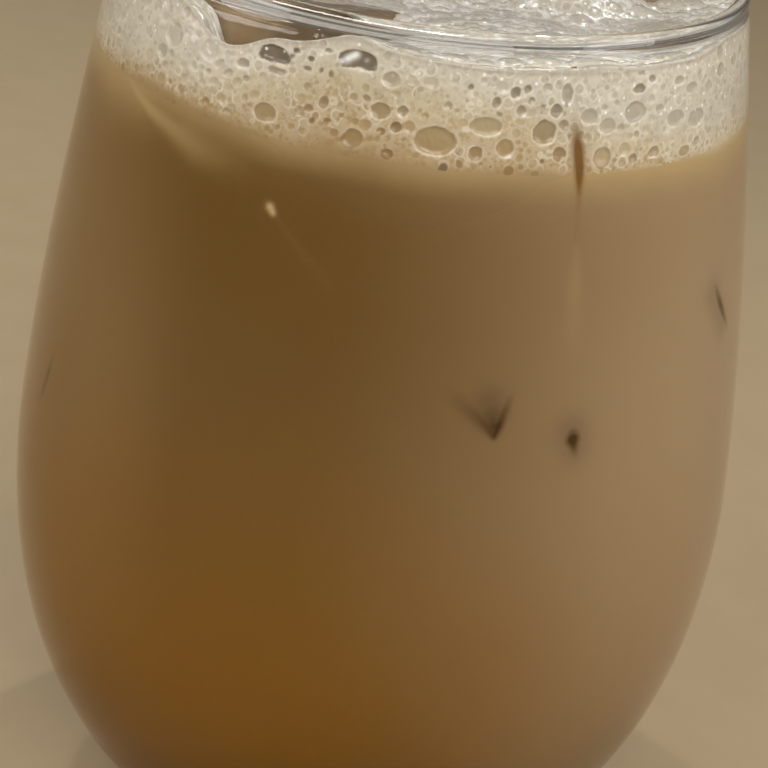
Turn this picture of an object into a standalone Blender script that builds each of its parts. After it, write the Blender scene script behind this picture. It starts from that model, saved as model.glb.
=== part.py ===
# Iced milk coffee in a stemless glass: the turned glass, the drink, its froth and the ice that shows.
# Everything stands on z = 0, and the glass's axis is the Z axis. Metres throughout.
import math
import random

import bmesh
import bpy
from mathutils import Matrix, Vector

# The glass's outer form
GLASS_HEIGHT = 0.1186
RIM_RADIUS = 0.0372
BELLY_RADIUS = 0.0465
BELLY_HEIGHT = 0.050
TAPER_POWER = 1.39  # over 1, so that the side leaves the belly gently and is straighter near the rim
BOWL_DEPTH = 0.0569  # from the belly to where the outer curve would close, below the flat foot
BOWL_POWER = 2.29  # a power of 2 would be an ellipse

# The glass's wall, lip and foot
RIM_WALL = 0.00125
BELLY_WALL = 0.0017
FLOOR_HEIGHT = 0.0065  # the lowest point of the inside
INSIDE_POWER = 2.75
LIP_RADIUS = 0.00095  # the fire-polished bead round the mouth
LIP_OVERHANG = 0.0004  # how far the bead stands out past the rim's radius
FOOT_EDGE = 0.0012  # the rounding where the side meets the foot

# The drink and its froth
GAP = 0.0003  # between two pieces that touch
DRINK_LEVEL = 0.1037  # the drink's top and the froth's underside
FROTH_EDGE = 0.1146  # the froth's top where it meets the glass
FROTH_MIDDLE = 0.1130
FROTH_RISE_POWER = 5  # high, so that the froth is nearly flat and climbs only near the glass

# Bubbles that stand out of the froth's top
BUBBLE_COUNT = 66
BUBBLE_RADII = (0.0013, 0.0037)
BUBBLE_FLATNESS = 0.42  # a bubble's height over its radius
BUBBLE_SPREAD = 0.0338  # the furthest bubble's middle from the axis
BUBBLE_CLOSENESS = 0.86  # the least distance of two bubbles over the sum of their radii
SEED = 7

# The largest bubbles pressed against the glass: bearing in degrees, height, half width and half height
WALL_BUBBLES = (
    (20.8, 0.1087, 0.0013, 0.0013),
    (11.0, 0.1092, 0.0019, 0.0012),
    (4.0, 0.1072, 0.0020, 0.0016),
    (14.3, 0.1068, 0.0010, 0.0010),
    (-25.0, 0.1124, 0.0017, 0.0010),
    (-10.2, 0.1139, 0.0019, 0.0011),
    (-25.2, 0.1068, 0.0013, 0.0012),
    (-4.9, 0.1094, 0.0012, 0.0010),
    (-9.4, 0.1060, 0.0012, 0.0011),
    (37.0, 0.1100, 0.0012, 0.0016),
    (47.0, 0.1087, 0.0012, 0.0014),
)
WALL_BUBBLE_DEPTH = 0.0007

# The open pocket in the froth beside the left ice cube
POCKET_BEARING = -27.0
POCKET_DISTANCE = 0.0335
POCKET_HEIGHT = 0.1160
POCKET_RADII = (0.0088, 0.0062, 0.0042)  # along the glass, across it and down

# Ice cubes that reach the froth's top: side, bearing and distance of the middle from the axis, its height,
# the turn about the upright, and the leans along and across the bearing, all angles in degrees
ICE_CUBES = {
    "ice_left": (0.0215, -40.0, 0.0243, 0.1034, 12.0, 6.0, -4.0),
    "ice_front": (0.0200, 27.0, 0.0248, 0.1033, 45.0, 9.6, 0.0),
    "ice_right": (0.0215, 116.0, 0.0236, 0.1048, 16.0, 8.0, 3.0),
}
ICE_ROUNDING = 0.0019
ICE_TAPER = 0.93  # a moulded cube's lower face over its upper one

# How finely curves are divided
GLASS_TURNS = 48
DRINK_TURNS = 48
FROTH_TURNS = 48
SIDE_POINTS = 9
BOWL_POINTS = 11
LIP_POINTS = 6


def outer_radius(z):
    """Outside of the glass above its belly."""
    t = (z - BELLY_HEIGHT) / (GLASS_HEIGHT - BELLY_HEIGHT)
    return BELLY_RADIUS - (BELLY_RADIUS - RIM_RADIUS) * max(t, 0) ** TAPER_POWER


def inner_radius(z):
    """Inside of the glass above its belly."""
    t = (z - BELLY_HEIGHT) / (GLASS_HEIGHT - BELLY_HEIGHT)
    return outer_radius(z) - BELLY_WALL - (RIM_WALL - BELLY_WALL) * max(t, 0)


def bowl(radius, depth, power, end_height=None):
    """Points down a rounded bowl from its belly, to its lowest point or to end_height."""
    points = []
    for i in range(BOWL_POINTS + 1):
        angle = math.pi / 2 * i / BOWL_POINTS
        r = radius * max(math.cos(angle), 0) ** (2 / power)
        z = BELLY_HEIGHT - depth * math.sin(angle) ** (2 / power)
        if end_height is not None and z < end_height:
            break
        points.append((r, z))
    if end_height is None:
        points[-1] = (0, BELLY_HEIGHT - depth)
    return points


def side(radius_at, top, shrink=0):
    """Points down a side from top to just above the belly."""
    drop = top - BELLY_HEIGHT
    return [(radius_at(top - drop * i / SIDE_POINTS) - shrink, top - drop * i / SIDE_POINTS) for i in range(SIDE_POINTS)]


def arc(centre, radius, start, end, count):
    """Points of an arc in the profile's plane, with angles in degrees from +X."""
    points = []
    for i in range(count + 1):
        angle = math.radians(start + (end - start) * i / count)
        points.append((centre[0] + radius * math.cos(angle), centre[1] + radius * math.sin(angle)))
    return points


def bowl_radius(z, radius, depth, power):
    return radius * (1 - ((BELLY_HEIGHT - z) / depth) ** power) ** (1 / power)


def glass_profile():
    """From the floor's middle up the inside, over the lip and down the outside to the foot's middle."""
    inside = BELLY_RADIUS - BELLY_WALL
    lip = (RIM_RADIUS + LIP_OVERHANG - LIP_RADIUS, GLASS_HEIGHT - LIP_RADIUS)
    wall_top = GLASS_HEIGHT - 2.6 * LIP_RADIUS
    inner = (side(inner_radius, wall_top) + bowl(inside, BELLY_HEIGHT - FLOOR_HEIGHT, INSIDE_POWER))[::-1]
    outer = side(outer_radius, wall_top) + bowl(BELLY_RADIUS, BOWL_DEPTH, BOWL_POWER, 2 * FOOT_EDGE)
    foot_radius = bowl_radius(FOOT_EDGE, BELLY_RADIUS, BOWL_DEPTH, BOWL_POWER)
    foot = arc((foot_radius - FOOT_EDGE, FOOT_EDGE), FOOT_EDGE, -15, -90, 3)
    return inner + arc(lip, LIP_RADIUS, 200, -20, LIP_POINTS) + outer + foot + [(0, 0)]


def drink_profile():
    """From the middle of the level top outwards, down the wall and along the floor."""
    top = DRINK_LEVEL - GAP / 2
    inside = BELLY_RADIUS - BELLY_WALL - GAP
    depth = BELLY_HEIGHT - FLOOR_HEIGHT - GAP
    return [(0, top)] + side(inner_radius, top, GAP) + bowl(inside, depth, INSIDE_POWER)


def froth_top(r):
    """Height of the froth's top at a distance from the axis."""
    reach = inner_radius(FROTH_EDGE) - GAP
    return FROTH_MIDDLE + (FROTH_EDGE - FROTH_MIDDLE) * (r / reach) ** FROTH_RISE_POWER


def froth_profile():
    """From the middle of the top outwards, down the wall and back along the underside."""
    under = DRINK_LEVEL + GAP / 2
    reach = inner_radius(FROTH_EDGE) - GAP
    rings = 7
    top = [(reach * math.sqrt(i / rings), froth_top(reach * math.sqrt(i / rings))) for i in range(rings + 1)]
    height = FROTH_EDGE - under
    wall = [(inner_radius(FROTH_EDGE - height * i / 4) - GAP, FROTH_EDGE - height * i / 4) for i in range(1, 5)]
    return top + wall + [(0, under)]


def material(name, colour, roughness, alpha=1.0):
    made = bpy.data.materials.new(name)
    made.use_nodes = True
    shader = made.node_tree.nodes["Principled BSDF"]
    shader.inputs["Base Color"].default_value = (*colour, 1)
    shader.inputs["Roughness"].default_value = roughness
    shader.inputs["Metallic"].default_value = 0
    shader.inputs["Alpha"].default_value = alpha
    return made


def link(collection, name, mesh, finish=None):
    placed = bpy.data.objects.new(name, mesh)
    collection.objects.link(placed)
    if finish:
        mesh.materials.append(finish)
    return placed


def turned(collection, name, profile, turns, finish):
    """A turned piece: its profile as a wire, with a Screw about Z."""
    mesh = bpy.data.meshes.new(name)
    points = [(r, 0, z) for r, z in profile]
    mesh.from_pydata(points, [(i, i + 1) for i in range(len(points) - 1)], [])
    piece = link(collection, name, mesh, finish)
    screw = piece.modifiers.new("turn", "SCREW")
    screw.axis = "Z"
    screw.angle = 2 * math.pi
    screw.steps = turns
    screw.render_steps = turns
    screw.use_merge_vertices = True
    screw.merge_threshold = 0.00002
    screw.use_smooth_shade = True
    return piece


def applied(piece):
    """Replaces the piece's mesh by what its modifiers make of it."""
    bpy.context.view_layer.update()
    evaluated = piece.evaluated_get(bpy.context.evaluated_depsgraph_get())
    mesh = bpy.data.meshes.new_from_object(evaluated)
    piece.modifiers.clear()
    piece.data = mesh
    return piece


def on_bearing(bearing, distance, z):
    """A point at a bearing from the front, which is -Y; bearings grow towards +X."""
    angle = math.radians(bearing)
    return Vector((distance * math.sin(angle), -distance * math.cos(angle), z))


def ice_mesh(name, size, rounding):
    """A moulded cube, its lower face a little smaller, with rounded edges."""
    shape = bmesh.new()
    bmesh.ops.create_cube(shape, size=size)
    for vertex in shape.verts:
        if vertex.co.z < 0:
            vertex.co.x *= ICE_TAPER
            vertex.co.y *= ICE_TAPER
    bmesh.ops.bevel(
        shape, geom=shape.edges[:], offset=rounding, segments=3, profile=0.5, affect="EDGES", clamp_overlap=True
    )
    mesh = bpy.data.meshes.new(name)
    shape.to_mesh(mesh)
    shape.free()
    return mesh


def ice_placement(cube):
    size, bearing, distance, height, turn, lean_in, lean_across = cube
    place = Matrix.Translation(on_bearing(bearing, distance, height))
    face_out = Matrix.Rotation(math.radians(bearing), 4, "Z")
    leans = Matrix.Rotation(math.radians(-lean_in), 4, "X") @ Matrix.Rotation(math.radians(lean_across), 4, "Y")
    return place @ face_out @ leans @ Matrix.Rotation(math.radians(turn), 4, "Z")


def make_ice(collection, cutters, finish):
    """The cubes, and for each a cutter that is a gap larger all round."""
    made = []
    for name, cube in ICE_CUBES.items():
        piece = link(collection, name, ice_mesh(name, cube[0], ICE_ROUNDING), finish)
        piece.matrix_world = ice_placement(cube)
        piece.data.shade_smooth()
        cutter = link(cutters, name + "_room", ice_mesh(name + "_room", cube[0] + 2 * GAP, ICE_ROUNDING + GAP))
        cutter.matrix_world = piece.matrix_world.copy()
        cutter.hide_render = True
        cutter.display_type = "WIRE"
        made.append(cutter)
    return made


def ball(collection, name, centre, radii, turn=0.0, segments=9, rings=6):
    """An ellipsoid, turned about the upright by an angle in degrees."""
    shape = bmesh.new()
    bmesh.ops.create_uvsphere(shape, u_segments=segments, v_segments=rings, radius=1)
    mesh = bpy.data.meshes.new(name)
    shape.to_mesh(mesh)
    shape.free()
    scale = Matrix.Diagonal((*radii, 1))
    mesh.transform(Matrix.Translation(centre) @ Matrix.Rotation(math.radians(turn), 4, "Z") @ scale)
    return link(collection, name, mesh)


def cut(piece, cutter):
    modifier = piece.modifiers.new("cut_" + cutter.name, "BOOLEAN")
    modifier.operation = "DIFFERENCE"
    modifier.solver = "EXACT"
    modifier.object = cutter


def over_ice(spot, radius):
    """Whether a bubble would sit on a cube that reaches the froth's top."""
    for cube in ICE_CUBES.values():
        seen = ice_placement(cube).inverted() @ Vector((spot.x, spot.y, froth_top(spot.length)))
        if max(abs(seen.x), abs(seen.y), abs(seen.z)) < cube[0] / 2 + 0.8 * radius:
            return True
    return False


def scattered_bubbles():
    """Middles and radii of the froth's bubbles, the largest first, spread over the top with no two too close."""
    draw = random.Random(SEED)
    pocket = on_bearing(POCKET_BEARING, POCKET_DISTANCE, 0)
    low, high = BUBBLE_RADII
    wanted = sorted((low + (high - low) * draw.random() ** 2.2 for _ in range(BUBBLE_COUNT)), reverse=True)
    placed = []
    for radius in wanted:
        for _ in range(60):
            distance = BUBBLE_SPREAD * math.sqrt(draw.random())
            spot = on_bearing(360 * draw.random(), min(distance, BUBBLE_SPREAD - 0.5 * radius), 0)
            on_pocket = (spot - pocket).length < POCKET_RADII[0] + 0.6 * radius
            too_close = any((spot - p).length < BUBBLE_CLOSENESS * (radius + r) for p, r in placed)
            if not (on_pocket or over_ice(spot, radius) or too_close):
                placed.append((spot, radius))
                break
    return placed


def make_froth(collection, cutters, finish):
    """The froth's core, with bubbles joined on top, shallow hollows at the glass and an open pocket."""
    froth = turned(collection, "froth", froth_profile(), FROTH_TURNS, finish)
    applied(froth)
    bubbles = bpy.data.collections.new("bubbles")
    bpy.context.scene.collection.children.link(bubbles)
    for number, (spot, radius) in enumerate(scattered_bubbles()):
        height = BUBBLE_FLATNESS * radius
        middle = Vector((spot.x, spot.y, froth_top(spot.length) - 0.25 * height))
        ball(bubbles, f"bubble_{number}", middle, (radius, radius, height), 40 * number, 7, 5)
    join = froth.modifiers.new("join_bubbles", "BOOLEAN")
    join.operation = "UNION"
    join.solver = "MANIFOLD"
    join.operand_type = "COLLECTION"
    join.collection = bubbles
    applied(froth)
    for bubble in list(bubbles.objects):
        bpy.data.objects.remove(bubble)
    bpy.data.collections.remove(bubbles)
    hollows = []
    for number, (bearing, height, half_width, half_height) in enumerate(WALL_BUBBLES):
        middle = on_bearing(bearing, inner_radius(height) - GAP, height)
        radii = (half_width, WALL_BUBBLE_DEPTH, half_height)
        hollows.append(ball(cutters, f"wall_bubble_{number}", middle, radii, bearing, 8, 5))
    pocket = on_bearing(POCKET_BEARING, POCKET_DISTANCE, POCKET_HEIGHT)
    hollows.append(ball(cutters, "pocket", pocket, POCKET_RADII, POCKET_BEARING, 16, 10))
    for cutter in hollows:
        cutter.hide_render = True
        cutter.display_type = "WIRE"
        cut(froth, cutter)
    return froth


def main():
    for old in list(bpy.data.objects):
        bpy.data.objects.remove(old)
    drink_set = bpy.data.collections.new("iced_coffee")
    cutters = bpy.data.collections.new("cutters")
    for made in (drink_set, cutters):
        bpy.context.scene.collection.children.link(made)
    clear = material("clear_glass", (0.93, 0.95, 0.94), 0.03, 0.3)
    coffee = material("milk_coffee", (0.27, 0.15, 0.055), 0.2)
    foam = material("froth", (0.62, 0.50, 0.34), 0.35)
    frozen = material("ice", (0.70, 0.62, 0.50), 0.08, 0.6)
    turned(drink_set, "glass", glass_profile(), GLASS_TURNS, clear)
    drink = turned(drink_set, "coffee", drink_profile(), DRINK_TURNS, coffee)
    froth = make_froth(drink_set, cutters, foam)
    for cutter in make_ice(drink_set, cutters, frozen):
        cut(drink, cutter)
        cut(froth, cutter)


main()
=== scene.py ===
import math
import random

import bpy
import numpy as np
from mathutils import Matrix, Vector, kdtree


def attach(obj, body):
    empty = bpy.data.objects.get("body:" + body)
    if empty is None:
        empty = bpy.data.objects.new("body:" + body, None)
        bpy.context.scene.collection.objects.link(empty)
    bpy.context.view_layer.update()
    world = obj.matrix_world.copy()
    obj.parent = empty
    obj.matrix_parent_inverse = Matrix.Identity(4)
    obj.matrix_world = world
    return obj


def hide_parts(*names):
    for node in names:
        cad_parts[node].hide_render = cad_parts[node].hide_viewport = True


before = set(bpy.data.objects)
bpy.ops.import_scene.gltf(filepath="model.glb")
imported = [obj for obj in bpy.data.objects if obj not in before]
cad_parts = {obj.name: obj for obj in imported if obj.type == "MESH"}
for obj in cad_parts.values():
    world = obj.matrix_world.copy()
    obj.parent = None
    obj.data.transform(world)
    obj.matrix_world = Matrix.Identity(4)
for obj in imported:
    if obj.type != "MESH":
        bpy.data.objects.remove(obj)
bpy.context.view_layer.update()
mm = 0.001


def rgb(*levels):
    return tuple((c / 255 / 12.92) if c < 11 else ((c / 255 + 0.055) / 1.055) ** 2.4 for c in levels) + (1,)


def deselectAll():
    if bpy.context.object and bpy.context.object.mode != "OBJECT":
        bpy.ops.object.mode_set(mode="OBJECT")
    bpy.ops.object.select_all(action="DESELECT")


def pick(piece):
    deselectAll()
    piece.select_set(True)
    bpy.context.view_layer.objects.active = piece


def onBearing(bearing, distance, z):
    angle = math.radians(bearing)  # from the front, which is -Y, towards +X
    return Vector((distance * math.sin(angle), -distance * math.cos(angle), z))


def turned(angle, axis):
    return Matrix.Rotation(math.radians(angle), 4, axis)


def drawProfile(name, points):
    deselectAll()  # a half section, drawn by extruding one vertex from point to point
    bpy.ops.mesh.primitive_plane_add(size=mm)
    piece = bpy.context.object
    piece.name = piece.data.name = name
    bpy.ops.object.mode_set(mode="EDIT")
    bpy.ops.mesh.merge(type="CENTER")
    bpy.ops.transform.translate(value=(points[0][0], 0, points[0][1]))
    for (r0, z0), (r1, z1) in zip(points, points[1:]):
        bpy.ops.mesh.extrude_vertices_move(TRANSFORM_OT_translate={"value": (r1 - r0, 0, z1 - z0)})
    return piece


def spinProfile(name, points, steps):
    piece = drawProfile(name, points)
    bpy.ops.object.mode_set(mode="OBJECT")
    turn = piece.modifiers.new("turn", "SCREW")
    turn.steps = turn.render_steps = steps
    turn.use_merge_vertices = True
    turn.merge_threshold = 2e-6
    bpy.ops.object.modifier_apply(modifier="turn")
    bpy.ops.object.mode_set(mode="EDIT")
    bpy.ops.mesh.select_all(action="SELECT")
    bpy.ops.mesh.remove_doubles(threshold=2e-6)
    bpy.ops.mesh.normals_make_consistent(inside=False)
    bpy.ops.object.mode_set(mode="OBJECT")
    bpy.ops.object.shade_smooth()
    return piece


def readPoints(piece):
    points = np.empty(len(piece.data.vertices) * 3, np.float32)
    piece.data.vertices.foreach_get("co", points)
    return points.reshape(-1, 3).astype(float)


def writePoints(piece, points):
    piece.data.vertices.foreach_set("co", points.astype(np.float32).ravel())
    piece.data.update()


def writeAttribute(piece, name, values):
    attribute = piece.data.attributes.new(name, "FLOAT", "POINT")
    attribute.data.foreach_set("value", np.asarray(values, np.float32))


def smoothStep(low, high, x):
    t = np.clip((x - low) / (high - low), 0, 1)
    return t * t * (3 - 2 * t)


def bearingsOf(points):
    return np.degrees(np.arctan2(points[:, 0], -points[:, 1]))


def dress(piece, material, slot, *nodes):
    piece.data.materials.clear()
    piece.data.materials.append(material)
    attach(piece, "root")
    if nodes:
        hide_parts(*nodes)


def newMaterial(name, **sockets):
    material = bpy.data.materials.new(name)
    material.use_nodes = True
    shader = material.node_tree.nodes["Principled BSDF"]
    for socket, value in sockets.items():
        shader.inputs[socket.replace("_", " ")].default_value = value
    return material, shader


def addNode(material, kind, inputs=(), **settings):
    node = material.node_tree.nodes.new("ShaderNode" + kind)
    for setting, value in settings.items():
        setattr(node, setting, value)
    for socket, value in dict(inputs).items():
        if isinstance(value, bpy.types.NodeSocket):
            material.node_tree.links.new(value, node.inputs[socket])
        else:
            node.inputs[socket].default_value = value
    return node


def calc(material, operation, *values):
    return addNode(material, "Math", enumerate(values), operation=operation).outputs[0]


def times(material, first, *others):
    for other in others:
        first = calc(material, "MULTIPLY", first, other)
    return first


def most(material, first, *others):
    for other in others:
        first = calc(material, "MAXIMUM", first, other)
    return first


def ranged(material, value, low, high, toLow=0.0, toHigh=1.0):
    sockets = {0: value, 1: low, 2: high, 3: toLow, 4: toHigh}
    return addNode(material, "MapRange", sockets, interpolation_type="SMOOTHSTEP").outputs[0]


def mixed(material, factor, first, second):
    return addNode(material, "Mix", {0: factor, 6: first, 7: second}, data_type="RGBA").outputs[2]


def noise(material, scale, detail=2.0, offset=0.0):
    where = addNode(material, "TexCoord").outputs["Object"]
    if offset:
        moved = {"Vector": where, "Location": (offset, offset, offset)}
        where = addNode(material, "Mapping", moved).outputs[0]
    return addNode(material, "TexNoise", {"Vector": where, "Scale": scale, "Detail": detail}).outputs["Fac"]


def swing(material, scale, detail, reach):
    return times(material, calc(material, "SUBTRACT", noise(material, scale, detail), 0.5), reach)


def bumped(material, shader, relief, strength, distance):
    bump = addNode(material, "Bump", {"Height": relief, "Strength": strength, "Distance": distance})
    material.node_tree.links.new(bump.outputs[0], shader.inputs["Normal"])


def attribute(material, name):
    return addNode(material, "Attribute", attribute_name=name).outputs["Fac"]


def height(material):
    where = addNode(material, "TexCoord").outputs["Object"]
    return addNode(material, "SeparateXYZ", {0: where}).outputs["Z"]


# the glass: the same named sizes as the part's own solids
glassSize = {
    "height": 118.6 * mm,
    "rimRadius": 37.2 * mm,
    "bellyRadius": 46.5 * mm,
    "bellyHeight": 50 * mm,
    "taperPower": 1.39,
    "bowlDepth": 56.9 * mm,
    "bowlPower": 2.29,
    "rimWall": 1.25 * mm,
    "bellyWall": 1.7 * mm,
    "floorHeight": 6.5 * mm,
    "insidePower": 2.75,
    "beadRadius": 0.95 * mm,
    "beadHalfWidth": 0.85 * mm,
    "beadOverhang": 0.3 * mm,
    "neckDepth": 0.06 * mm,
    "neckWidth": 0.8 * mm,
    "footEdge": 1.2 * mm,
    "sideRows": 44,  # rows of the mesh, here and below
    "bowlRows": 34,
    "turns": 256,
    "tint": (0.985, 0.99, 0.985, 1),
    "shadowTint": (0.97, 0.98, 0.97, 1),
    "mirror": (0.1135, 0.1165, 0.03, 0.55),  # from height, to height, and the shine at each
}


def outerRadius(z):
    g = glassSize
    up = max(z - g["bellyHeight"], 0) / (g["height"] - g["bellyHeight"])
    down = max(g["bellyHeight"] - z, 0) / g["bowlDepth"]
    side = g["bellyRadius"] - (g["bellyRadius"] - g["rimRadius"]) * up ** g["taperPower"]
    return side * (1 - down ** g["bowlPower"]) ** (1 / g["bowlPower"])


def innerRadius(z):
    g = glassSize
    if z < g["bellyHeight"]:
        down = min((g["bellyHeight"] - z) / (g["bellyHeight"] - g["floorHeight"]), 1)
        return (g["bellyRadius"] - g["bellyWall"]) * (1 - down ** g["insidePower"]) ** (1 / g["insidePower"])
    up = (z - g["bellyHeight"]) / (g["height"] - g["bellyHeight"])
    return outerRadius(z) - g["bellyWall"] - (g["rimWall"] - g["bellyWall"]) * up


def bowlLine(radiusAt, lowest, count):
    g = glassSize
    drop = g["bellyHeight"] - lowest
    heights = [g["bellyHeight"] - drop * math.sin(math.pi / 2 * i / count) for i in range(count + 1)]
    return [(radiusAt(z), z) for z in heights]


def sideLine(radiusAt, top, count):
    drop = top - glassSize["bellyHeight"]
    return [(radiusAt(top - drop * i / count), top - drop * i / count) for i in range(count)]


def arcLine(centre, halfWidth, halfHeight, start, end, count):
    angles = [math.radians(start + (end - start) * i / count) for i in range(count + 1)]
    return [(centre[0] + halfWidth * math.cos(a), centre[1] + halfHeight * math.sin(a)) for a in angles]


def makeGlass():
    g = glassSize
    bead = (g["rimRadius"] + g["beadOverhang"] - g["beadHalfWidth"], g["height"] - g["beadRadius"])
    wallTop = g["height"] - 2.5 * g["beadRadius"]

    def neck(z):
        return g["neckDepth"] * math.exp(-(((z - wallTop) / g["neckWidth"]) ** 2))

    inside = sideLine(lambda z: innerRadius(z) + 0.3 * neck(z), wallTop, g["sideRows"])
    inside += bowlLine(innerRadius, g["floorHeight"], g["bowlRows"])
    inside[-1] = (0, g["floorHeight"])
    outside = sideLine(lambda z: outerRadius(z) - neck(z), wallTop, g["sideRows"])
    outside += bowlLine(outerRadius, 1.6 * g["footEdge"], g["bowlRows"] - 4)
    footRadius = outerRadius(g["footEdge"]) - 0.1 * mm
    foot = arcLine((footRadius - g["footEdge"], g["footEdge"]), g["footEdge"], g["footEdge"], -8, -90, 6)
    flat = [(footRadius * (1 - i / 5) * 0.93, 0) for i in range(6)]
    bead = arcLine(bead, g["beadHalfWidth"], g["beadRadius"], 200, -30, 18)
    piece = spinProfile("clearGlass", inside[::-1] + bead + outside + foot + flat, g["turns"])
    material, shader = newMaterial("clearGlass", Base_Color=g["tint"], IOR=1.5, Transmission_Weight=1)
    smear = ranged(material, noise(material, 60, 3), 0.45, 0.8, 0.0, 0.012)
    material.node_tree.links.new(smear, shader.inputs["Roughness"])
    mirror = ranged(material, height(material), *g["mirror"])  # the dark drink takes the shine away
    material.node_tree.links.new(mirror, shader.inputs["Specular IOR Level"])
    passed = {"Color": g["shadowTint"]}
    through = addNode(material, "BsdfTransparent", passed)  # lets the lamps light the drink
    shadow = addNode(material, "LightPath").outputs["Is Shadow Ray"]
    both = addNode(material, "MixShader", {0: shadow, 1: shader.outputs[0], 2: through.outputs[0]})
    surface = material.node_tree.nodes["Material Output"].inputs["Surface"]
    material.node_tree.links.new(both.outputs[0], surface)
    dress(piece, material, "glass", "glass")


makeGlass()
print("glass turned")

iceSize = {"cuts": 18, "smoothing": 8, "bulge": 0.10, "wobble": 0.45 * mm, "lumps": 7 * mm}

iceColour = {"clear": rgb(164, 132, 90), "cloudy": rgb(198, 178, 148), "drained": rgb(104, 84, 58)}

# bearing, distance and height of the middle, size, turn about the upright, leans along and across
floatingIce = {
    "iceLeft": ("ice_left", -40.0, 24.3, 103.4, 21.5, 12.0, 6.0, -4.0),
    "iceFront": ("ice_front", 27.0, 24.8, 103.3, 20.0, 45.0, 9.6, 0.0),
    "iceRight": ("ice_right", 116.0, 23.6, 104.8, 21.5, 16.0, 8.0, 3.0),
}

# bearing and height of the part nearest the wall, its clearance, size, turns about X, Y, Z, and roll
sunkIce = {
    "iceSunkCorner": (17.9, 75.5, 0.3, 20.0, (9.0, 45.0, 0.0), -18.0),
    "iceSunkPoint": (30.8, 73.4, 0.3, 18.0, (35.3, 45.0, 0.0), 20.0),
    "iceSunkRight": (65.2, 84.0, 0.3, 20.0, (0.0, 0.0, 45.0), 35.0),
    "iceSunkLeft": (-64.0, 63.4, 0.4, 20.0, (0.0, 0.0, 45.0), -20.0),
}


def meltedCube(name, size):
    deselectAll()
    bpy.ops.mesh.primitive_cube_add(size=size)
    piece = bpy.context.object
    piece.name = piece.data.name = name
    bpy.ops.object.mode_set(mode="EDIT")
    bpy.ops.mesh.subdivide(number_cuts=iceSize["cuts"])
    bpy.ops.mesh.select_all(action="SELECT")
    bpy.ops.mesh.vertices_smooth(factor=0.5, repeat=iceSize["smoothing"])
    bpy.ops.object.mode_set(mode="OBJECT")
    cast = piece.modifiers.new("bulge", "CAST")
    cast.factor = iceSize["bulge"]
    lumps = bpy.data.textures.new(name + "Lumps", "CLOUDS")
    lumps.noise_scale = iceSize["lumps"]
    push = piece.modifiers.new("melt", "DISPLACE")
    push.texture = lumps
    push.strength = iceSize["wobble"]
    push.mid_level = 0.5
    push.texture_coords = "LOCAL"
    for modifier in ("bulge", "melt"):
        bpy.ops.object.modifier_apply(modifier=modifier)
    bpy.ops.object.shade_smooth()
    return piece


def moveMesh(piece, matrix):
    piece.data.transform(matrix)
    piece.data.update()


def nearWall(piece, bearing, z, clearance):
    slope = (innerRadius(z + mm) - innerRadius(z - mm)) / (2 * mm)
    outward = onBearing(bearing, 1, -slope).normalized()
    furthest = max((v.co for v in piece.data.vertices), key=lambda co: co.dot(outward))
    moveMesh(piece, Matrix.Translation(onBearing(bearing, innerRadius(z) - clearance, z) - furthest))
    for _ in range(4):  # then back until no corner is nearer the wall
        corners = [v.co for v in piece.data.vertices]
        over = max(math.hypot(co.x, co.y) - innerRadius(co.z) for co in corners) + clearance
        moveMesh(piece, Matrix.Translation(-outward * over))


def makeIceMaterial():
    material, shader = newMaterial(
        "wetIce",
        Roughness=0.05,
        IOR=1.31,
        Transmission_Weight=0.35,
        Coat_Weight=1,
    )
    cloud = ranged(material, noise(material, 110, 3), 0.45, 0.8)
    colour = mixed(material, cloud, iceColour["clear"], iceColour["cloudy"])
    drained = ranged(material, noise(material, 85, 2, offset=0.4), 0.47, 0.62, 0.0, 0.75)
    colour = mixed(material, drained, colour, iceColour["drained"])
    material.node_tree.links.new(colour, shader.inputs["Base Color"])
    bumped(material, shader, noise(material, 420, 3), 0.12, 0.4 * mm)
    return material


def makeIce():
    material = makeIceMaterial()
    for name, (node, bearing, distance, z, size, turn, leanIn, leanAcross) in floatingIce.items():
        piece = meltedCube(name, size * mm)
        leans = turned(-leanIn, "X") @ turned(leanAcross, "Y")
        middle = Matrix.Translation(onBearing(bearing, distance * mm, z * mm))
        moveMesh(piece, middle @ turned(bearing, "Z") @ leans @ turned(turn, "Z"))
        dress(piece, material, "ice", node)
    for name, (bearing, z, clearance, size, turns, roll) in sunkIce.items():
        piece = meltedCube(name, size * mm)
        shape = Matrix.Identity(4)
        for angle, axis in zip(turns, "XYZ"):
            shape = turned(angle, axis) @ shape
        moveMesh(piece, turned(bearing, "Z") @ turned(roll, "Y") @ shape)
        nearWall(piece, bearing, z * mm, clearance * mm)
        dress(piece, material, "ice")


makeIce()
print("ice placed:", ", ".join([*floatingIce, *sunkIce]))

drinkSize = {
    "top": 103.9 * mm,
    "wetting": 0.15 * mm,  # how far the drink reaches into the glass, so that no air shows
    "turns": 360,
    "rows": 110,
    "markCuts": 3,
}

# the drink's colours: the first four are painted light and shade (the drink in shade on the left, lit on the
# right, painted light through the left edge, and a warmer painted shade low on the left); the next two are
# painted shade where ice shows through; the last is painted light beside the ice
drinkColour = {
    "shade": rgb(121, 90, 43),
    "lit": rgb(174, 149, 116),
    "edge": rgb(146, 115, 71),
    "amber": rgb(147, 98, 1),
    "iceMark": rgb(70, 46, 12),
    "needle": rgb(130, 94, 42),
    "glow": rgb(206, 177, 126),
}
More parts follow.
